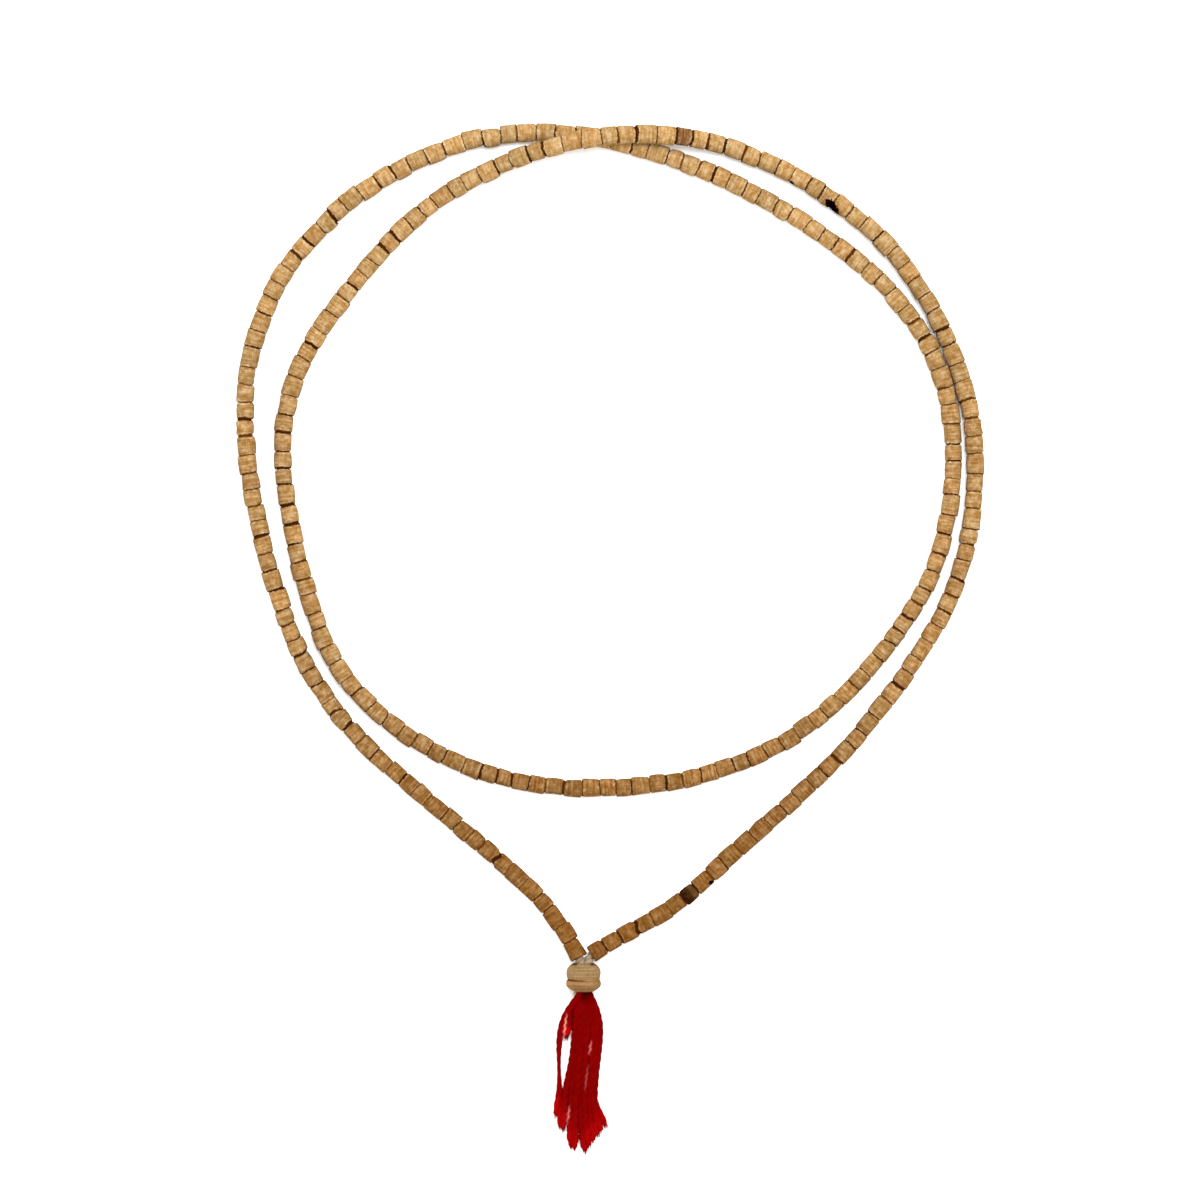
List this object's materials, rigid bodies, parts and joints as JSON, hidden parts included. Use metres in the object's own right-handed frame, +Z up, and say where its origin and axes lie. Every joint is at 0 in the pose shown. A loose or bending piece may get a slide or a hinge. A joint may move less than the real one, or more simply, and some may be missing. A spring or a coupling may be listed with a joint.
{
  "type": "mala",
  "caption": "Long string of small turned wooden beads laid flat in a loop of two rounds, its ends joined in a larger guru bead that carries a red yarn tassel.",
  "frame": {"origin": "centre of the laid string's box on the surface that it lies on", "axes": "+Y away from the tassel, along the longest side; +X to the right as seen from above; +Z up from the surface"},
  "size_m": [0.2167, 0.2986, 0.0111],
  "materials": {
    "bead_wood": "bare turned wood, unpolished",
    "cotton_thread": "twisted white cotton",
    "guru_wood": "pale turned wood with fine rings",
    "red_yarn": "twisted red yarn with frayed ends"
  },
  "bodies": {
    "root": {"beads_first_round": "bead_wood", "beads_second_round": "bead_wood", "thread": "cotton_thread", "guru_bead": "guru_wood", "tassel": "red_yarn"}
  },
  "joints": []
}
